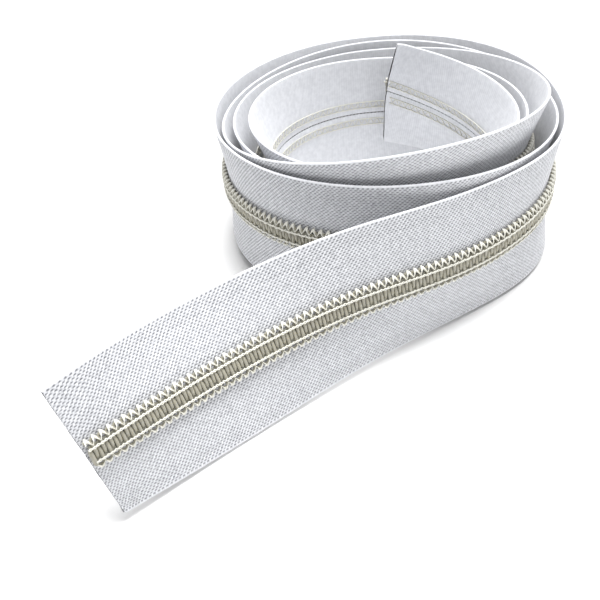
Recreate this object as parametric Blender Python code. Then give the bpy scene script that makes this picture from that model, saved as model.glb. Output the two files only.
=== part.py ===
"""A length of nylon coil zipper chain, loosely rolled, with a free tail.

The chain is two woven tapes side by side. Each tape carries a nylon coil on its outer face, a filler
cord inside the coil, two rows of needle thread over it and a looper thread behind it. The two coils mesh
along the middle. There is no slider and no stop: both ends are cut raw.

The roll stands on the lower selvedges. The route runs from the inner cut end, clockwise seen from above,
through four turns and a quarter, and out along the tail to the outer cut end.
"""

import math

import bmesh
import bpy
import numpy as np
from mathutils import Matrix, Vector

MM = 0.001

# Across the chain, measured on the flat.
CHAIN_OVERALL_WIDTH = 31.0 * MM
TAPE_THICKNESS = 0.45 * MM
TAPE_TO_TAPE_GAP = 0.30 * MM
COIL_BAND_WIDTH = 6.1 * MM
COIL_HEIGHT = 1.50 * MM
COIL_WIRE = 0.30 * MM
HEAD_WIDTH = 0.95 * MM
LEG_SLOPE = 0.45 * MM
NEEDLE_THREAD_WIDTH = 0.38 * MM
NEEDLE_THREAD_THICKNESS = 0.22 * MM
INNER_STITCH_OFFSET = 1.45 * MM
LOOPER_THICKNESS = 0.20 * MM
CORE_WIDTH = 1.50 * MM
FIT = 0.10 * MM

# Along the chain.
JOINT_GAP = 0.30 * MM
STATIONS_PER_TURN = 18
TAIL_STATION_PITCH = 11.0 * MM
LAYER_CLEARANCE = 0.32 * MM

# The roll. Radii are from its centre to the line between the two coils.
ROLL_CENTRE = (16.0 * MM, 21.6 * MM)
OUTER_RADIUS = {"back": 40.5 * MM, "right": 35.6 * MM, "front": 37.5 * MM, "left": 40.6 * MM}
SIDES = ("back", "right", "front", "left")
# One row for each quarter turn from the inner end: the slack between this layer and a tight one, the
# height of the lower selvedge, and how far the lower and upper tapes lean outwards at the top, in degrees.
QUARTERS = (
    (16.0, 14.0, -7, -24),
    (1.4, 2.5, -16, 18),
    (2.8, 3.7, 9, 20),
    (1.9, 3.2, 1, 17),
    (5.9, 1.3, 1, -1),
    (0.8, 1.6, -12, 15),
    (1.2, 2.3, -1, 10),
    (0.7, 1.6, 0, 16),
    (2.1, 0.0, 0, 6),
    (0.2, 5.5, 2, 18),
    (0.1, 11.5, -3, 15),
    (0.5, 1.4, -1, 14),
    (1.2, 1.0, 0, 2),
    (0.2, 0.0, 3, 17),
    (0.0, 4.0, -3, 6),
    (0.0, 2.6, -5, 8),
    (0.0, 0.0, -5, 12),
)
# The tail: X and Y of the line between the coils, from the roll's centre, then height and leans as above.
TAIL = (
    (28.7, 26.3, 0.0, 8, 11),
    (35.6, 0.0, 0.0, 3, 13),
    (28.0, -24.8, 0.8, -6, 7),
    (8.8, -40.8, 0.8, 3, -10),
    (-14.4, -50.8, 1.4, -8, -18),
    (-40.2, -63.0, 0.4, -21, -30),
    (-67.1, -85.0, 2.0, -11, -15),
)
# The leans are those of a side that reaches this far past the stitches. A wider side leans less, so that
# its selvedge stands out as far and stays clear of the next layer.
LEANING_REACH = 11.87 * MM
# Keeps the corners of a leaning selvedge off the table.
SELVEDGE_LIFT = 0.07 * MM
TURNS_TO_INNER_HINGE = 0.17
TURNS_TO_TAIL_HINGE = 4.36
END_LENGTH = 28.0 * MM
# The tail's end is cut a little askew: how far it moves along the chain per unit across it.
CUT_SLANT = 0.13

COLOURS = {
    "tape": (0.86, 0.87, 0.90, 0.85),
    "coil": (0.72, 0.69, 0.58, 0.35),
    "core_cord": (0.90, 0.89, 0.85, 0.90),
    "outer_needle_thread": (0.93, 0.92, 0.88, 0.60),
    "inner_needle_thread": (0.92, 0.91, 0.85, 0.60),
    "looper_thread": (0.90, 0.90, 0.88, 0.70),
}


def clear_scene():
    for obj in list(bpy.data.objects):
        bpy.data.objects.remove(obj)


def material(piece):
    red, green, blue, roughness = COLOURS[piece]
    made = bpy.data.materials.new(piece)
    made.use_nodes = True
    shader = made.node_tree.nodes["Principled BSDF"]
    shader.inputs["Base Color"].default_value = (red, green, blue, 1)
    shader.inputs["Roughness"].default_value = roughness
    shader.inputs["Metallic"].default_value = 0
    return made


# ---------------------------------------------------------------- route


def natural_spline(knots, values, places):
    """A natural cubic spline through values at knots, read at places."""
    knots, values = np.asarray(knots, float), np.asarray(values, float)
    step = np.diff(knots)
    rise = np.diff(values, axis=0) / step[:, None]
    count = len(knots)
    system = np.eye(count)
    right = np.zeros_like(values)
    for i in range(1, count - 1):
        system[i, i - 1 : i + 2] = step[i - 1], 2 * (step[i - 1] + step[i]), step[i]
        right[i] = 6 * (rise[i] - rise[i - 1])
    bend = np.linalg.solve(system, right)
    i = np.clip(np.searchsorted(knots, places, side="right") - 1, 0, count - 2)
    t = (places - knots[i])[:, None]
    h = step[i][:, None]
    slope = rise[i] - h * (2 * bend[i] + bend[i + 1]) / 6
    return values[i] + slope * t + bend[i] * t**2 / 2 + (bend[i + 1] - bend[i]) * t**3 / (6 * h)


def layer_thickness():
    """What one layer of chain takes up in the roll, from the looper thread to the top of the stitches."""
    top = coil_base() + COIL_HEIGHT + NEEDLE_THREAD_THICKNESS
    return LOOPER_THICKNESS + FIT + top + LAYER_CLEARANCE


def coil_base():
    return TAPE_THICKNESS + FIT


def roll_rows():
    """X, Y, height and leans of the route at each quarter turn and between, as a smooth spiral."""
    last = len(QUARTERS) - 1
    rows = []
    for k, (slack, height, lower, upper) in enumerate(QUARTERS):
        side = SIDES[k % 4]
        inside = (last - k + 3) // 4 if side == "right" else (last - k) // 4
        radius = OUTER_RADIUS[side] - inside * layer_thickness() - slack * MM
        rows.append((radius, height * MM, lower, upper))
    quarters = np.arange(0, last + 1e-9, 0.25)
    smooth = natural_spline(np.arange(last + 1), rows, quarters)
    angle = np.radians(90 - 90 * quarters)
    x = ROLL_CENTRE[0] + smooth[:, 0] * np.cos(angle)
    y = ROLL_CENTRE[1] + smooth[:, 0] * np.sin(angle)
    return np.column_stack([x, y, smooth[:, 1:]])


def route_points():
    tail = np.array(TAIL, float)
    tail[:, :3] *= MM
    tail[:, :2] += ROLL_CENTRE
    return np.vstack([roll_rows(), tail])


class Route:
    """The line between the two coils, and how the tapes stand at each place along it."""

    def __init__(self):
        self.points = route_points()
        chords = np.linalg.norm(np.diff(self.points[:, :2], axis=0), axis=1)
        self.knots = np.concatenate([[0], np.cumsum(chords)])
        self.end = self.knots[-1]

    def at(self, places):
        """Centre, mean, lower and upper tape directions, and the three faces' normals, at places."""
        places = np.asarray(places, float)
        row = natural_spline(self.knots, self.points, places)
        row[:, 2] = np.maximum(row[:, 2], 0)
        nudge = 0.05 * MM
        ahead = natural_spline(self.knots, self.points, places + nudge)
        along = np.column_stack([ahead[:, :2] - row[:, :2], 0 * places])
        along /= np.linalg.norm(along, axis=1)[:, None]
        outward = np.column_stack([-along[:, 1], along[:, 0], 0 * places])
        band = stitched_half_width()
        free = CHAIN_OVERALL_WIDTH / 2 - band
        lean = np.arcsin(np.sin(np.radians(row[:, 3:5])) * min(LEANING_REACH / free, 1))
        up = np.array([0, 0, 1.0])

        def tape_direction(angle):
            return np.cos(angle)[:, None] * up + np.sin(angle)[:, None] * outward

        lower, upper = tape_direction(lean[:, 0]), tape_direction(lean[:, 1])
        middle = tape_direction(lean.mean(axis=1))
        height = SELVEDGE_LIFT + row[:, 2] + band * middle[:, 2] + free * lower[:, 2]
        centre = np.column_stack([row[:, :2], height])
        across = {"middle": middle, "lower": lower, "upper": upper}
        normal = {name: np.cross(way, along) for name, way in across.items()}
        return centre, across, normal

    def place_of_turn(self, turns):
        """The place along the route where it has gone round this many turns."""
        steps = np.linspace(0, self.end, 4000)
        row = natural_spline(self.knots, self.points, steps)
        angle = np.unwrap(np.arctan2(row[:, 1] - ROLL_CENTRE[1], row[:, 0] - ROLL_CENTRE[0]))
        gone = (angle[0] - angle) / (2 * math.pi)
        return float(steps[np.argmax(gone >= turns)])


# ---------------------------------------------------------------- cross-section


def stitched_half_width():
    """From the middle of the chain to just past the outer row of stitches, where the tape may bend."""
    return COIL_BAND_WIDTH / 2 + 2 * FIT + NEEDLE_THREAD_WIDTH


def coil_outline():
    """Across and out of one coil's outer shape: meshing heads in the middle, legs sloping outwards."""
    base, top = coil_base(), coil_base() + COIL_HEIGHT
    inner, outer = FIT / 2, COIL_BAND_WIDTH / 2
    return [(inner, base), (inner, top), (HEAD_WIDTH, top), (outer, top - LEG_SLOPE), (outer, base)]


def coil_hollow():
    """The space inside the coil's turns, which the core cord fills."""
    base, top = coil_base() + COIL_WIRE, coil_base() + COIL_HEIGHT - COIL_WIRE
    inner, outer = HEAD_WIDTH - COIL_WIRE, COIL_BAND_WIDTH / 2 - COIL_WIRE
    return [(inner, base), (inner, top), (HEAD_WIDTH, top), (outer, top - LEG_SLOPE), (outer, base)]


def core_outline():
    base = coil_base() + COIL_WIRE + FIT
    inner = HEAD_WIDTH - COIL_WIRE + FIT
    top = coil_base() + COIL_HEIGHT - COIL_WIRE - FIT
    outer = inner + CORE_WIDTH
    reach = COIL_BAND_WIDTH / 2 - COIL_WIRE - HEAD_WIDTH
    fall = LEG_SLOPE * (outer - HEAD_WIDTH) / reach + FIT / 2
    return [(inner, base), (inner, top), (outer, top - fall), (outer, base)]


def rectangle(across, out, width, thickness):
    far, top = across + width, out + thickness
    return [(across, out), (across, top), (far, top), (far, out)]


def inner_stitch_outline():
    reach = COIL_BAND_WIDTH / 2 - HEAD_WIDTH
    fall = LEG_SLOPE * (INNER_STITCH_OFFSET - HEAD_WIDTH) / reach
    out = coil_base() + COIL_HEIGHT - fall + FIT
    return rectangle(INNER_STITCH_OFFSET, out, NEEDLE_THREAD_WIDTH, NEEDLE_THREAD_THICKNESS)


def outer_stitch_outline():
    across = COIL_BAND_WIDTH / 2 + FIT
    return rectangle(across, coil_base(), NEEDLE_THREAD_WIDTH, NEEDLE_THREAD_THICKNESS)


def looper_outline():
    width = COIL_BAND_WIDTH / 2 + FIT + NEEDLE_THREAD_WIDTH - INNER_STITCH_OFFSET
    return rectangle(INNER_STITCH_OFFSET, -FIT - LOOPER_THICKNESS, width, LOOPER_THICKNESS)


def tape_outline():
    inner, bend, edge = TAPE_TO_TAPE_GAP / 2, stitched_half_width(), CHAIN_OVERALL_WIDTH / 2
    reverse = [(inner, 0), (bend, 0), (edge, 0)]
    face = [(across, TAPE_THICKNESS) for across, _ in reversed(reverse)]
    return reverse + face


# ---------------------------------------------------------------- solids


def section_points(route, places, side, outline):
    """Points of an outline at each place: side is upper or lower, and the tape bends past the stitches."""
    sign = 1 if side == "upper" else -1
    bend = stitched_half_width()
    rings = []
    for reach, out in outline:
        askew = np.where(np.asarray(places) == route.end, sign * reach * CUT_SLANT, 0)
        centre, across, normal = route.at(places + askew)
        near = min(reach, bend)
        point = centre + sign * near * across["middle"]
        if reach > bend:
            point = point + sign * (reach - bend) * across[side] + out * normal[side]
        else:
            point = point + out * normal["middle"]
        rings.append(point)
    return np.stack(rings, axis=1)


def strip(name, piece, rings, hollow=None):
    """A closed body through rings of points, with flat ends; hollow leaves a bore open at both ends."""
    made = bmesh.new()

    def add_wall(points):
        rows = [[made.verts.new(point) for point in ring] for ring in points]
        size = len(rows[0])
        for near, far in zip(rows, rows[1:]):
            for i in range(size):
                j = (i + 1) % size
                made.faces.new((near[i], near[j], far[j], far[i]))
        return rows

    outer = add_wall(rings)
    if hollow is None:
        made.faces.new(outer[0])
        made.faces.new(outer[-1])
    else:
        inner = add_wall(hollow)
        for row, bore in ((outer[0], inner[0]), (outer[-1], inner[-1])):
            for i in range(len(row)):
                j = (i + 1) % len(row)
                made.faces.new((row[i], row[j], bore[j], bore[i]))
    bmesh.ops.recalc_face_normals(made, faces=made.faces)
    mesh = bpy.data.meshes.new(name)
    made.to_mesh(mesh)
    made.free()
    obj = bpy.data.objects.new(name, mesh)
    mesh.materials.append(MATERIALS[piece])
    bpy.context.scene.collection.objects.link(obj)
    return obj


def set_origin(obj, point):
    """Moves the object's origin to a point on its joint's axis, and leaves its shape where it is."""
    obj.data.transform(Matrix.Translation(-Vector(point)))
    obj.location = Vector(point)


def stations(route, start, end):
    """Places from start to end: at equal angles round the roll, and at an even pitch on the tail."""
    on_roll = int(TURNS_TO_TAIL_HINGE * STATIONS_PER_TURN)
    places = [route.place_of_turn(k / STATIONS_PER_TURN) for k in range(1, on_roll)]
    count = round((route.end - places[-1]) / TAIL_STATION_PITCH)
    places += list(np.linspace(places[-1], route.end, count + 1)[1:])
    near_enough = 1.5 * MM
    inside = [p for p in places if start + near_enough < p < end - near_enough]
    return np.array([start, *inside, end])


# ---------------------------------------------------------------- pieces of one stretch of chain


def add_tape(route, places, side, where):
    rings = section_points(route, places, side, tape_outline())
    return strip(f"{side}_tape_{where}", "tape", rings)


def add_coil(route, places, side, where):
    rings = section_points(route, places, side, coil_outline())
    hollow = section_points(route, places, side, coil_hollow())
    return strip(f"{side}_coil_{where}", "coil", rings, hollow)


def add_core_cord(route, places, side, where):
    rings = section_points(route, places, side, core_outline())
    return strip(f"{side}_core_cord_{where}", "core_cord", rings)


def add_outer_needle_thread(route, places, side, where):
    rings = section_points(route, places, side, outer_stitch_outline())
    return strip(f"{side}_outer_needle_thread_{where}", "outer_needle_thread", rings)


def add_inner_needle_thread(route, places, side, where):
    rings = section_points(route, places, side, inner_stitch_outline())
    return strip(f"{side}_inner_needle_thread_{where}", "inner_needle_thread", rings)


def add_looper_thread(route, places, side, where):
    rings = section_points(route, places, side, looper_outline())
    return strip(f"{side}_looper_thread_{where}", "looper_thread", rings)


STRINGER_PIECES = (
    add_tape,
    add_coil,
    add_core_cord,
    add_outer_needle_thread,
    add_inner_needle_thread,
    add_looper_thread,
)


def add_stringer(route, start, end, side, where, pivot=None):
    """Tape, coil, cord and threads of one side of the chain, from start to end along the route."""
    places = stations(route, start, end)
    for add_piece in STRINGER_PIECES:
        piece = add_piece(route, places, side, where)
        if pivot is not None:
            set_origin(piece, pivot)


# ---------------------------------------------------------------- hinges


def pivot_on_face(route, place, out):
    """A point level with the line between the coils, this far out of the tapes' reverse side."""
    centre, _, normal = route.at([place])
    return centre[0] + out * normal["middle"][0]


def pivot_on_selvedge(route, place, side):
    """The middle of a selvedge's edge, where that side of the chain turns outwards."""
    outline = [(CHAIN_OVERALL_WIDTH / 2, TAPE_THICKNESS / 2)]
    return section_points(route, [place], side, outline)[0][0]


def hinges(route):
    """Each joint's place along the route, and a point on its axis."""
    inner = route.place_of_turn(TURNS_TO_INNER_HINGE)
    tail = route.place_of_turn(TURNS_TO_TAIL_HINGE)
    split = route.end - END_LENGTH
    behind = -(FIT + LOOPER_THICKNESS + FIT)
    before = coil_base() + COIL_HEIGHT + NEEDLE_THREAD_THICKNESS + FIT
    return {
        "inner_end": (inner, pivot_on_face(route, inner, behind)),
        "tail": (tail, pivot_on_face(route, tail, before)),
        "upper": (split, pivot_on_selvedge(route, split, "upper")),
        "lower": (split, pivot_on_selvedge(route, split, "lower")),
    }


clear_scene()
MATERIALS = {piece: material(piece) for piece in COLOURS}
ROUTE = Route()
HINGES = hinges(ROUTE)
inner_hinge, inner_pivot = HINGES["inner_end"]
tail_hinge, tail_pivot = HINGES["tail"]
half_gap = JOINT_GAP / 2
for stringer in ("upper", "lower"):
    split, split_pivot = HINGES[stringer]
    add_stringer(ROUTE, 0, inner_hinge - half_gap, stringer, "inner_end", inner_pivot)
    add_stringer(ROUTE, inner_hinge + half_gap, tail_hinge - half_gap, stringer, "roll")
    add_stringer(ROUTE, tail_hinge + half_gap, split - half_gap, stringer, "tail", tail_pivot)
    add_stringer(ROUTE, split + half_gap, ROUTE.end, stringer, "cut_end", split_pivot)
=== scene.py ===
"""The looks of a loosely rolled length of nylon coil zipper chain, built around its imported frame."""

import math

import bpy
import numpy as np
from mathutils import Matrix, Vector


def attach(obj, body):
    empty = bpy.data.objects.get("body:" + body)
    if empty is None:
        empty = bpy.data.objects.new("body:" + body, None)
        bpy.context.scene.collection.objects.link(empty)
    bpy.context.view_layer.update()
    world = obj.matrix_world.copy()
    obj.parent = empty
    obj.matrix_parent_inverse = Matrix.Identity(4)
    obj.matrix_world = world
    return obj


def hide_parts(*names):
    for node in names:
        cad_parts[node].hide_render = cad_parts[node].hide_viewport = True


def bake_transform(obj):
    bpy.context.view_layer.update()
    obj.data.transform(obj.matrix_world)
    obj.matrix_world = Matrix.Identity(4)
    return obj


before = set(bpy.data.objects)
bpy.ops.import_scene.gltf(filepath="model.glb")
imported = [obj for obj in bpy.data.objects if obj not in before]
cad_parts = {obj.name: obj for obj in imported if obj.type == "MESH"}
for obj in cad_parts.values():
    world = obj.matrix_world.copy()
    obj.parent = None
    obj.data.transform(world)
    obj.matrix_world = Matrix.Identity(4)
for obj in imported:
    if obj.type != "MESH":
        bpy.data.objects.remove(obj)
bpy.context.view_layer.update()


# ---------------------------------------------------------------- woven tapes
# Two white polyester tapes, warp-faced, about half a millimetre thick and 15 mm wide. The coils are sewn
# to their outer faces. The chain stands on its lower selvedge in four turns and a quarter, then runs out.

CHAIN_WIDTH = 0.0310
TAPE_THICKNESS = 0.00045
TAPE_GAP = 0.0003
STITCHED_HALF_WIDTH = 0.00363
FREE_WIDTH = CHAIN_WIDTH / 2 - STITCHED_HALF_WIDTH
LAYER_THICKNESS = 0.00289
SELVEDGE_LIFT = 0.00007
# Past the stitches a tape turns from the coil's lean to its own within this width.
TURNING_WIDTH = 0.0006
# The outer end is cut askew by this much for each unit across.
CUT_SLANT = 0.13
ROLL_CENTRE = (0.0160, 0.0216)
# Radius of the outermost turn at the back, right, front and left.
OUTER_RADIUS = (0.0405, 0.0356, 0.0375, 0.0406)
# Each quarter turn from the inner end: slack, height, and the lower and upper tapes' leans in degrees.
QUARTERS = (
    (0.0160, 0.0140, -7, -24),
    (0.0014, 0.0025, -16, 18),
    (0.0028, 0.0037, 9, 20),
    (0.0019, 0.0032, 1, 17),
    (0.0059, 0.0013, 1, -1),
    (0.0008, 0.0016, -12, 15),
    (0.0012, 0.0023, -1, 10),
    (0.0007, 0.0016, 0, 16),
    (0.0021, 0.0000, 0, 6),
    (0.0002, 0.0055, 2, 18),
    (0.0001, 0.0115, -3, 15),
    (0.0005, 0.0014, -1, 14),
    (0.0012, 0.0010, 0, 2),
    (0.0002, 0.0000, 3, 17),
    (0.0000, 0.0040, -3, 6),
    (0.0000, 0.0026, -5, 8),
    (0.0000, 0.0000, -5, 12),
)
# The tail: X and Y from the roll's centre, height and leans.
TAIL = (
    (0.0287, 0.0263, 0.0, 8, 11),
    (0.0356, 0.0, 0.0, 3, 13),
    (0.0280, -0.0248, 0.0008, -6, 7),
    (0.0088, -0.0408, 0.0008, 3, -10),
    (-0.0144, -0.0508, 0.0014, -8, -18),
    (-0.0402, -0.0630, 0.0004, -21, -30),
    (-0.0671, -0.0850, 0.0020, -11, -15),
)


def smooth_through(knots, values, places):
    """A natural cubic spline through values at knots, read at places."""
    step = np.diff(knots)
    rise = np.diff(values, axis=0) / step[:, None]
    system = np.eye(len(knots))
    right = np.zeros_like(values)
    for i in range(1, len(knots) - 1):
        system[i, i - 1 : i + 2] = step[i - 1], 2 * (step[i - 1] + step[i]), step[i]
        right[i] = 6 * (rise[i] - rise[i - 1])
    bend = np.linalg.solve(system, right)
    i = np.clip(np.searchsorted(knots, places, side="right") - 1, 0, len(knots) - 2)
    t, h = (places - knots[i])[:, None], step[i][:, None]
    slope = rise[i] - h * (2 * bend[i] + bend[i + 1]) / 6
    return values[i] + slope * t + bend[i] * t**2 / 2 + (bend[i + 1] - bend[i]) * t**3 / (6 * h)


LAST_QUARTER = len(QUARTERS) - 1
quarter_rows = []
for k, (slack, height, lower_lean, upper_lean) in enumerate(QUARTERS):
    # Each full turn still to come is one layer outside this one. At the right the tail's start is one more.
    at_right = k % 4 == 1
    layers_outside = (LAST_QUARTER - k + 3 * at_right) // 4
    radius = OUTER_RADIUS[k % 4] - layers_outside * LAYER_THICKNESS - slack
    quarter_rows.append((radius, height, lower_lean, upper_lean))
quarters = np.arange(0, LAST_QUARTER + 0.01, 0.25)
rolled = smooth_through(np.arange(len(QUARTERS), dtype=float), np.array(quarter_rows), quarters)
turned = np.radians(90 - 90 * quarters)
roll_line = np.column_stack([
    ROLL_CENTRE[0] + rolled[:, 0] * np.cos(turned),
    ROLL_CENTRE[1] + rolled[:, 0] * np.sin(turned),
    rolled[:, 1:],
])
tail_line = np.array(TAIL) + np.array([*ROLL_CENTRE, 0, 0, 0])
line = np.vstack([roll_line, tail_line])
line_knots = np.append(0, np.cumsum(np.linalg.norm(np.diff(line[:, :2], axis=0), axis=1)))
CHAIN_END = line_knots[-1]
# How far ahead a point is taken to find which way the chain runs.
STEP_AHEAD = 0.00005


def on_chain(side, along, across, out):
    """World places of points given along the chain, across from its middle, and out of the reverse."""
    along, across, out = np.broadcast_arrays(along, across, out)
    shape, along = along.shape, along.ravel()
    across, out = across.ravel(), out.ravel()
    row = smooth_through(line_knots, line, along)
    ahead = smooth_through(line_knots, line, along + STEP_AHEAD)[:, :2] - row[:, :2]
    ahead /= np.linalg.norm(ahead, axis=1)[:, None]
    lean = np.radians(row[:, 3:5])
    up = np.array([0, 0, 1.0])
    outward = np.column_stack([-ahead[:, 1], ahead[:, 0], 0 * along])
    forward = np.column_stack([ahead, 0 * along])

    def tape_direction(angle):
        return np.cos(angle)[:, None] * up + np.sin(angle)[:, None] * outward

    middle, lower, upper = (tape_direction(a) for a in (lean.mean(axis=1), lean[:, 0], lean[:, 1]))
    height = SELVEDGE_LIFT + np.maximum(row[:, 2], 0)
    height = height + STITCHED_HALF_WIDTH * middle[:, 2] + FREE_WIDTH * lower[:, 2]
    sign, free = (1, upper) if side == "upper" else (-1, lower)
    near = np.minimum(across, STITCHED_HALF_WIDTH)[:, None]
    far = np.maximum(across - STITCHED_HALF_WIDTH, 0)[:, None]
    turn = np.clip(far / TURNING_WIDTH, 0, 1)
    normal = np.cross(middle, forward) * (1 - turn) + np.cross(free, forward) * turn
    normal /= np.linalg.norm(normal, axis=1)[:, None]
    place = np.column_stack([row[:, :2], height])
    place = place + sign * (near * middle + far * free) + out[:, None] * normal
    return place.reshape(*shape, 3)


# One turn of the coil takes this much of the chain. Every stretch holds whole turns.
COIL_PITCH = 0.00165
# Stretch, its first and last turn, and the bodies it belongs to. A stretch with two bodies is fixed to
# neither. The two sides part at the outer end, so there each side has its own body.
STRETCHES = (
    ("inner_end", 0, 9, ("inner_end",)),
    ("inner_bend", 9, 16, ("inner_end", "roll")),
    ("roll", 16, 186, ("roll",)),
    ("middle_turns", 186, 356, ("roll",)),
    ("outer_turns", 356, 526, ("roll",)),
    ("tail_bend", 526, 534, ("roll", "tail")),
    ("tail", 534, 580, ("tail",)),
    ("parting", 580, 587, ("tail", "side_end")),
    ("cut_end", 587, CHAIN_END / COIL_PITCH, ("side_end",)),
)


def hold(piece, side, stretch):
    """Fixes a piece to its body. A piece between two bodies is fixed to neither, only baked in place."""
    _, first, last, bodies = stretch
    bodies = [side + "_end" if body == "side_end" else body for body in bodies]
    if len(bodies) == 1:
        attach(piece, bodies[0])
        return
    start, end = on_chain(side, np.array([first, last]) * COIL_PITCH, 0.0, 0.0)
    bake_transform(piece)


def stand_for(side, kind, stretch):
    """The made piece is shown in place of the frame's plain strip of that name."""
    name = f"{side}_{kind}_{stretch[0]}"
    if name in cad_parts:
        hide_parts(name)


def plain_shader(name, colour, roughness):
    """A new material and its shader, with one colour and one roughness to start from."""
    made = bpy.data.materials.new(name)
    made.use_nodes = True
    shader = made.node_tree.nodes["Principled BSDF"]
    shader.inputs["Base Color"].default_value = (*colour, 1)
    shader.inputs["Roughness"].default_value = roughness
    return made, shader


YARN_WHITE = (0.75, 0.76, 0.79)
YARN_GREY = (0.67, 0.68, 0.71)
# The painted shade's colour, for the pits between the yarns.
YARN_SHADE = (0.10, 0.103, 0.120)
woven_polyester, shader = plain_shader("woven_polyester", YARN_WHITE, 0.78)
shader.inputs["Sheen Weight"].default_value = 0.15
shader.inputs["Sheen Roughness"].default_value = 0.5
nodes, links = woven_polyester.node_tree.nodes, woven_polyester.node_tree.links
# The yarns aren't evenly white, in patches of about a millimetre.
place = nodes.new("ShaderNodeTexCoord")
patches = nodes.new("ShaderNodeTexNoise")
patches.inputs["Scale"].default_value = 900
patches.inputs["Detail"].default_value = 3
links.new(place.outputs["Object"], patches.inputs["Vector"])
whites = nodes.new("ShaderNodeValToRGB")
whites.color_ramp.elements[0].position = 0.35
whites.color_ramp.elements[0].color = (*YARN_GREY, 1)
whites.color_ramp.elements[1].position = 0.65
whites.color_ramp.elements[1].color = (*YARN_WHITE, 1)
links.new(patches.outputs["Fac"], whites.inputs["Fac"])
# Painted shade: pits and hollows of the weave are mixed towards a deep grey, along with a random tone.
painted_shade_and_tone = nodes.new("ShaderNodeAttribute")
painted_shade_and_tone.attribute_name = "painted_shade_and_tone"
shaded = nodes.new("ShaderNodeMix")
shaded.data_type = "RGBA"
links.new(painted_shade_and_tone.outputs["Fac"], shaded.inputs["Factor"])
links.new(whites.outputs["Color"], shaded.inputs["A"])
shaded.inputs["B"].default_value = (*YARN_SHADE, 1)
links.new(shaded.outputs["Result"], shader.inputs["Base Color"])
# Single fibres are too fine for the mesh, so they are left to a slight bump.
fibres = nodes.new("ShaderNodeTexNoise")
fibres.inputs["Scale"].default_value = 9000
fibres.inputs["Detail"].default_value = 2
links.new(place.outputs["Object"], fibres.inputs["Vector"])
bump = nodes.new("ShaderNodeBump")
bump.inputs["Strength"].default_value = 0.25
bump.inputs["Distance"].default_value = 0.00004
links.new(fibres.outputs["Fac"], bump.inputs["Height"])
links.new(bump.outputs["Normal"], shader.inputs["Normal"])

YARN_PITCH = 0.00046
# Rows of the mesh for each turn of the coil, and rows from one pit to the next.
ROWS_PER_TURN = 7
WEFT_ROWS = 4
# A yarn stands this far above the cloth, and a pit lies as deep. The weft between two pits stands less high.
FLOAT_RELIEF = 0.00007
WEFT_SHARE = 0.4
# A few warps are thicker and show as faint lines along the tape.
THICK_YARNS = (8, 9, 26, 28, 30)
THICK_SHARE = 1.5
# The selvedge is a small rounded edge cord: how far back from the edge and out of the reverse it goes.
SELVEDGE_CORD = (
    (0.00030, 0.00054),
    (0.00008, 0.00046),
    (0.0, 0.00022),
    (0.00008, 0.00002),
    (0.00030, -0.00005),
)
SELVEDGE_BEAD = 0.00006
FACE_MARGIN = 0.0006
REVERSE_MARGIN = 0.0008
REVERSE_YARN_PITCH = 0.0026
REVERSE_RELIEF = 0.00002
# What a column of the tape's section is, where it isn't a gap between two yarns.
YARN_TOP, SELVEDGE, REVERSE = -1, -2, -3
# Painted shade on the weft between two pits and in the reverse's hollows, and how uneven tone and height
# are.
WEFT_SHADE = 0.1
REVERSE_SHADE = 0.12
UNEVEN_SHADE = 0.16
UNEVEN_HEIGHT = 0.06
# The cut ends: how far in from each the cut still moves the yarns, and how short or long a yarn is cut.
OUTER_CUT_REACH = 0.006
INNER_CUT_REACH = 0.0008
FRAY = (-0.00012, 0.00006)
# The unrolled tape: share of the height that its lanes take, gap beside each lane, and where the ends lie.
LANES_SHARE = 0.97
LANE_GAP = 0.01
END_HEIGHT = 0.985
END_WIDTH_SHARE = 0.9
END_THICKNESS_SCALE = 15
weave = np.random.default_rng(5)


def tape_profile():
    """Round the tape's section: place across, out of the reverse, gap number and relief of each column."""
    inner, edge = TAPE_GAP / 2, CHAIN_WIDTH / 2
    columns = []
    count = int((edge - FACE_MARGIN - inner) / (YARN_PITCH / 2))
    for j in range(count + 1):
        across = inner + j * YARN_PITCH / 2
        relief = FLOAT_RELIEF * (THICK_SHARE if j // 2 in THICK_YARNS else 1.0)
        columns.append((across, TAPE_THICKNESS, YARN_TOP if j % 2 else j // 2, relief))
    for back, out in SELVEDGE_CORD:
        columns.append((edge - back, out, SELVEDGE, 0.0))
    reverse = int((edge - REVERSE_MARGIN - inner) / REVERSE_YARN_PITCH)
    for j in range(reverse, -1, -1):
        columns.append((inner + j * REVERSE_YARN_PITCH, 0.0, REVERSE, REVERSE_RELIEF))
    return np.array(columns)


# No two yarns are quite alike. The draws are made once for each side, so that its stretches meet.
uneven = {}
for side in ("upper", "lower"):
    rows_in_all = math.ceil(CHAIN_END / COIL_PITCH) * ROWS_PER_TURN + 2
    uneven[side] = weave.normal(0, 1, (2, rows_in_all, len(tape_profile())))
    uneven[side + "_cut"] = weave.uniform(*FRAY, len(tape_profile()))


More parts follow.
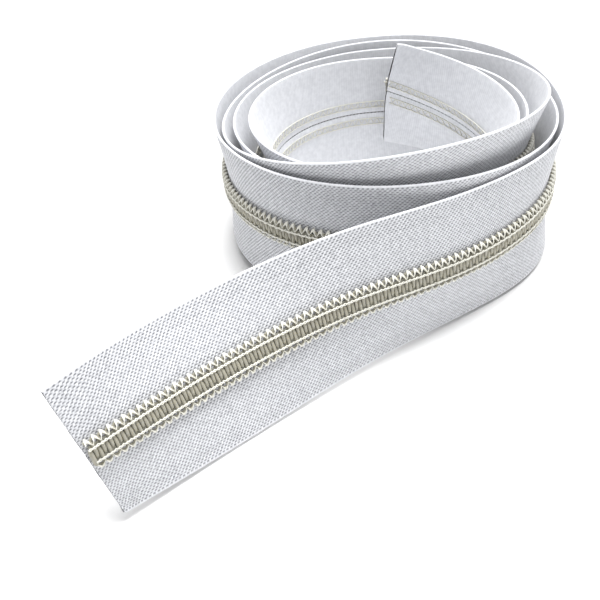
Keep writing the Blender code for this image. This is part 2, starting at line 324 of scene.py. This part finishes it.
def weave_tape(side, stretch):
    """One stretch of tape: its warp yarns run along it, and the weft shows between them."""
    name, first, last, _ = stretch
    across, out, gap, relief = tape_profile().T
    # One row more at each end than the stretch holds, so that the cloth's normals run on past its ends.
    row = np.arange(round(first * ROWS_PER_TURN) - 1, round(last * ROWS_PER_TURN) + 2)[:, None]
    rows = len(row) - 2
    along = row * COIL_PITCH / ROWS_PER_TURN + 0 * across
    along[-2] = np.minimum(along[-2], CHAIN_END)
    # The raw ends: cut askew at the outer end, and each yarn cut a little long or short.
    sign = 1 if side == "upper" else -1
    outer_end = np.clip((along - (CHAIN_END - OUTER_CUT_REACH)) / OUTER_CUT_REACH, 0, 1)
    inner_end = np.clip((INNER_CUT_REACH - along) / INNER_CUT_REACH, 0, 1)
    fray = uneven[side + "_cut"]
    along = along + outer_end * sign * across * CUT_SLANT + (inner_end - outer_end) * fray
    height_noise, shade_noise = uneven[side][:, row[:, 0]]
    # Between two warp yarns the cloth is a row of short pits, and the weft closes the gap between pits.
    pit = (row + gap * WEFT_ROWS / 2) % WEFT_ROWS < WEFT_ROWS / 2
    lift = np.where(pit, -relief, WEFT_SHARE * relief)
    lift = np.where(gap == YARN_TOP, relief, lift)
    # The selvedge is beaded by the weft that wraps it, and the reverse only ripples.
    bead = np.where(row % 2 == 0, SELVEDGE_BEAD, -SELVEDGE_BEAD)
    on_face = out > TAPE_THICKNESS / 2
    lift = np.where(gap == SELVEDGE, 0.5 * bead * on_face, lift)
    ripple = np.where((row + np.arange(len(across))) % 2 == 0, relief, -relief)
    lift = np.where(gap == REVERSE, ripple, lift)
    wide = across + np.where(gap == SELVEDGE, bead, 0)
    thick = out + lift + height_noise * UNEVEN_HEIGHT * FLOAT_RELIEF
    points = on_chain(side, along, wide, thick)
    down = np.roll(points, -1, 1) - np.roll(points, 1, 1)
    normals = np.cross(down[1:-1], points[2:] - points[:-2]) * -sign
    points = points[1:-1]
    # Painted shade: full in pits, slight on the weft between pits and in the reverse's hollows, none on
    # tops.
    shade_and_tone_amount = np.where(pit, 1.0, WEFT_SHADE)
    shade_and_tone_amount = np.where((gap == YARN_TOP) | (gap == SELVEDGE), 0.0, shade_and_tone_amount)
    shade_and_tone_amount = np.where(gap == REVERSE, np.where(ripple > 0, 0.0, REVERSE_SHADE), shade_and_tone_amount)
    # A random unevenness of tone is added on the face's yarns and pits.
    shade_and_tone_amount = np.clip(shade_and_tone_amount + shade_noise * UNEVEN_SHADE * (gap > SELVEDGE), 0, 1)[1:-1]
    columns = len(across)
    i, j = np.meshgrid(np.arange(rows - 1), np.arange(columns), indexing="ij")
    this_row, next_row = i * columns, (i + 1) * columns
    near, far = j, (j + 1) % columns
    quads = np.stack([this_row + near, this_row + far, next_row + far, next_row + near], -1)
    quads = quads.reshape(-1, 4)
    # The tape unrolled: the stretch lies in a few rows, one above another, and its two cut ends above them.
    ring = np.column_stack([across, out])
    step = np.linalg.norm(np.roll(ring, -1, 0) - ring, axis=1)
    round_ring = np.append(0, np.cumsum(step)) / step.sum()
    lanes = max(1, round(math.sqrt((rows - 1) * COIL_PITCH / ROWS_PER_TURN / step.sum())))
    lane_rows = math.ceil((rows - 1) / lanes)
    lane, u = i // lane_rows, (i % lane_rows) / lane_rows
    in_lane = LANE_GAP + (1 - 2 * LANE_GAP) * round_ring
    v_near, v_far = (LANES_SHARE / lanes * (lane + in_lane[j + k]) for k in (0, 1))
    flat_u = np.stack([u, u, u + 1 / lane_rows, u + 1 / lane_rows], -1)
    flat_v = np.stack([v_near, v_far, v_far, v_near], -1)
    flat = np.stack([flat_u, flat_v], -1).reshape(-1, 4, 2)
    end_flat = np.column_stack([
        across / CHAIN_WIDTH * END_WIDTH_SHARE,
        END_HEIGHT + out * END_THICKNESS_SCALE,
    ])
    if side == "upper":
        quads, flat = quads[:, ::-1], flat[:, ::-1]
    first_row = list(range(columns))
    last_row = [(rows - 1) * columns + c for c in first_row]
    near_flat, far_flat = end_flat, end_flat + (0.5, 0)
    if side == "upper":
        last_row, far_flat = last_row[::-1], far_flat[::-1]
    else:
        first_row, near_flat = first_row[::-1], near_flat[::-1]
    mesh = bpy.data.meshes.new(f"{side}_woven_tape_{name}")
    mesh.from_pydata(points.reshape(-1, 3), [], quads.tolist() + [first_row, last_row])
    mesh.polygons.foreach_set("use_smooth", [True] * len(quads) + [False, False])
    unrolled = mesh.uv_layers.new(name="OFBake")
    flat = np.concatenate([flat.reshape(-1, 2), near_flat, far_flat])
    unrolled.uv.foreach_set("vector", flat.astype(np.float32).ravel())
    mesh.normals_split_custom_set_from_vertices(normals.reshape(-1, 3))
    # The painted shade and random tone go to the mesh, where the material reads them.
    shade = mesh.attributes.new("painted_shade_and_tone", "FLOAT", "POINT")
    shade.data.foreach_set("value", shade_and_tone_amount.astype(np.float32).ravel())
    mesh.materials.append(woven_polyester)
    piece = bpy.data.objects.new(mesh.name, mesh)
    bpy.context.scene.collection.objects.link(piece)
    return piece


for side in ("upper", "lower"):
    for stretch in STRETCHES:
        tape = weave_tape(side, stretch)
        stand_for(side, "tape", stretch)
        hold(tape, side, stretch)


# ---------------------------------------------------------------- nylon coils
# Each coil is one ivory nylon monofilament, 0.6 mm thick, wound flat round the core cord. Each turn is
# pressed to a wider head in the middle of the chain, where it locks between two heads of the other coil.

MM = 0.001
NYLON_RADIUS = 0.00030
# At the outer end the coil and the threads stop this far before the tape's cut.
CUT_BACK = 0.0002
# One turn: how far through it, across from the middle, out of the reverse (mm), and thickness there.
COIL_TURN = (
    (0.00, 2.76, 1.16, 1.00),
    (0.26, 2.62, 0.90, 1.00),
    (0.48, 2.10, 0.85, 1.00),
    (0.50, 0.90, 0.88, 1.10),
    (0.50, -0.20, 0.96, 1.32),
    (0.50, -0.62, 1.10, 1.34),
    (0.50, -0.72, 1.30, 1.34),
    (0.50, -0.56, 1.50, 1.34),
    (0.50, 0.10, 1.60, 1.34),
    (0.50, 1.00, 1.62, 1.34),
    (0.52, 2.10, 1.54, 1.00),
    (0.74, 2.64, 1.38, 1.00),
)


def strand(side, first, last, turn, late=0.0):
    """Places and thicknesses of a strand that repeats the same turn from one turn of the coil to another."""
    through, across, out, thick = np.array(turn).T
    turns = np.arange(math.floor(first), math.ceil(last))[:, None]
    along = ((turns + through + late) * COIL_PITCH).ravel()
    across, out, thick = (np.tile(x, len(turns)) for x in (across * MM, out * MM, thick))
    if last == math.floor(last):
        along = np.append(along, (last + through[0] + late) * COIL_PITCH)
        across, out, thick = (np.append(x, x[0]) for x in (across, out, thick))
    sign = 1 if side == "upper" else -1
    past_cut = along > CHAIN_END - CUT_BACK + sign * across * CUT_SLANT
    if past_cut.any():
        stop = np.argmax(past_cut)
        along, across, out, thick = along[:stop], across[:stop], out[:stop], thick[:stop]
    return on_chain(side, along, across, out), thick


def make_thread(name, strands, radius, facets, material):
    """A round thread along each strand, closed at both ends."""
    bpy.ops.object.select_all(action="DESELECT")
    curve = bpy.data.curves.new(name, "CURVE")
    curve.dimensions = "3D"
    curve.bevel_depth = radius
    curve.bevel_resolution = facets
    curve.use_fill_caps = True
    for places, thick in strands:
        run = curve.splines.new("POLY")
        run.points.add(len(places) - 1)
        run.points.foreach_set("co", np.column_stack([places, np.ones(len(places))]).ravel())
        run.points.foreach_set("radius", thick)
        run.use_smooth = True
    thread = bpy.data.objects.new(name, curve)
    bpy.context.scene.collection.objects.link(thread)
    thread.select_set(True)
    bpy.context.view_layer.objects.active = thread
    bpy.ops.object.convert(target="MESH")
    thread = bpy.context.view_layer.objects.active
    thread.data.materials.clear()
    thread.data.materials.append(material)
    return thread


def sew_along(kind, noun, turns, radius, facets, material):
    """Makes one kind of thread for both sides and every stretch of the chain, and fixes it there."""
    for side in ("upper", "lower"):
        # The lower side's turns lie half a turn later, between the upper side's.
        late = 0.0 if side == "upper" else 0.5
        for stretch in STRETCHES:
            name, first, last, _ = stretch
            strands = [strand(side, first, last, turn, late) for turn in turns]
            piece = make_thread(f"{side}_{noun}_{name}", strands, radius, facets, material)
            stand_for(side, kind, stretch)
            hold(piece, side, stretch)


ivory_nylon, shader = plain_shader("ivory_nylon", (0.34, 0.325, 0.265), 0.35)
shader.inputs["Subsurface Weight"].default_value = 0.25
shader.inputs["Subsurface Radius"].default_value = (0.9, 0.8, 0.5)
shader.inputs["Subsurface Scale"].default_value = 0.0006
sew_along("coil", "nylon_coil", [COIL_TURN], NYLON_RADIUS, 1, ivory_nylon)


# ---------------------------------------------------------------- core cords
# A flat, soft filler cord of white polyester runs inside each coil. The nylon is wound round it, and the
# needle is sewn through it, which holds the coil to the tape. It is made of four strands side by side.

CORE_STRAND_RADIUS = 0.00014
CORE_STRANDS = [
    ((0.0, across, 1.22, 1.0), (0.5, across, 1.24, 0.9))
    for across in (0.95, 1.22, 1.49, 1.76)
]
soft_white_cord, shader = plain_shader("soft_white_cord", (0.46, 0.45, 0.38), 0.9)
sew_along("core_cord", "filler_cord", CORE_STRANDS, CORE_STRAND_RADIUS, 0, soft_white_cord)


# ---------------------------------------------------------------- outer needle threads
# The stitches at the coil's back, of white polyester thread. Between two turns the thread dives into the
# tape as a tight bright bead, and between beads it crosses over the next leg of the coil to the inner row.

OUTER_THREAD_RADIUS = 0.00013
OUTER_STITCH = (
    (0.00, 3.16, 0.78, 1.70),
    (0.06, 3.06, 1.16, 2.10),
    (0.14, 2.88, 1.52, 1.80),
    (0.27, 2.50, 1.80, 0.75),
    (0.50, 1.95, 1.99, 0.65),
    (0.73, 2.50, 1.84, 0.75),
    (0.86, 2.88, 1.60, 1.80),
    (0.94, 3.06, 1.24, 2.10),
)
sewing_thread, shader = plain_shader("sewing_thread", (0.72, 0.71, 0.64), 0.55)
shader.inputs["Sheen Weight"].default_value = 0.2
sew_along(
    "outer_needle_thread", "outer_stitches", [OUTER_STITCH], OUTER_THREAD_RADIUS, 1, sewing_thread
)


# ---------------------------------------------------------------- inner needle threads
# The row of chain stitches next to the meshing heads, of the same thread. It is sewn through the core cord
# and holds the coil's legs down on the tape. Two strands cross over each other once in each turn.

INNER_THREAD_RADIUS = 0.00012
INNER_CHAIN = (
    (
        (0.00, 1.25, 1.90, 1.0),
        (0.25, 1.44, 2.03, 1.1),
        (0.50, 1.63, 2.05, 1.1),
        (0.75, 1.44, 2.02, 1.0),
    ),
    (
        (0.00, 1.63, 1.88, 1.0),
        (0.25, 1.44, 1.99, 1.1),
        (0.50, 1.25, 2.10, 1.1),
        (0.75, 1.44, 1.98, 1.0),
    ),
)
sew_along(
    "inner_needle_thread", "inner_stitches", INNER_CHAIN, INNER_THREAD_RADIUS, 1, sewing_thread
)


# ---------------------------------------------------------------- looper threads
# The underside of the same stitches, on the tape's smooth reverse. The looper lays this thread in as the
# chain is sewn: two soft rows under the needle threads, and a crossing between them in each turn.

LOOPER_RADIUS = 0.00012
LOOPER_CHAIN = (
    (
        (0.00, 1.62, -0.12, 1.0),
        (0.25, 2.30, -0.16, 1.0),
        (0.50, 3.34, -0.14, 1.2),
        (0.75, 2.30, -0.16, 1.0),
    ),
    ((0.00, 1.66, -0.10, 1.3), (0.50, 1.56, -0.18, 1.0)),
    ((0.00, 3.38, -0.18, 1.0), (0.50, 3.28, -0.10, 1.3)),
)
sew_along("looper_thread", "looper_stitches", LOOPER_CHAIN, LOOPER_RADIUS, 0, sewing_thread)


# ---------------------------------------------------------------- table, light and camera
# A plain pale table top in a bright even room. A large soft lamp hangs above, a little behind and to the
# right, and a weak one stands in front.

bpy.ops.object.select_all(action="DESELECT")
bpy.ops.mesh.primitive_plane_add(size=6, location=(0, 0, 0))
table = bpy.context.object
table.name = "table_top"
pale_table, shader = plain_shader("pale_table", (0.84, 0.84, 0.84), 0.6)
shader.inputs["Specular IOR Level"].default_value = 0.2
table.data.materials.append(pale_table)

world = bpy.data.worlds.new("room")
bpy.context.scene.world = world
world.use_nodes = True
world.node_tree.nodes["Background"].inputs["Color"].default_value = (1, 1, 1, 1)
world.node_tree.nodes["Background"].inputs["Strength"].default_value = 0.54

LAMP_AIM = Vector((0, 0, 0.02))
for name, spot, width, power in (
    ("lamp_above", (0.12, 0.15, 0.95), 0.6, 17),
    ("lamp_front", (0.10, -0.8, 0.7), 0.5, 1.5),
):
    bpy.ops.object.light_add(type="AREA", location=spot)
    lamp = bpy.context.object
    lamp.name = name
    lamp.data.size = width
    lamp.data.energy = power
    lamp.rotation_euler = (LAMP_AIM - Vector(spot)).to_track_quat("-Z", "Y").to_euler()

CAMERA_PLACE = (-0.0112, -0.1690, 0.13347)
CAMERA_DOWN = math.radians(39.5)
CAMERA_ROLL = math.radians(-6.3)
ahead = Vector((0, math.cos(CAMERA_DOWN), -math.sin(CAMERA_DOWN)))
right = Vector((1, 0, 0))
over = right.cross(ahead)
camera_x = right * math.cos(CAMERA_ROLL) + over * math.sin(CAMERA_ROLL)
camera_y = -right * math.sin(CAMERA_ROLL) + over * math.cos(CAMERA_ROLL)
bpy.ops.object.camera_add()
camera = bpy.context.object
camera.data.lens = 54
camera.data.sensor_width = 36
camera.data.clip_start = 0.005
turned_to = Matrix((camera_x, camera_y, -ahead)).transposed().to_4x4()
camera.matrix_world = Matrix.Translation(CAMERA_PLACE) @ turned_to
bpy.context.scene.camera = camera
bpy.context.scene.view_settings.view_transform = "Standard"
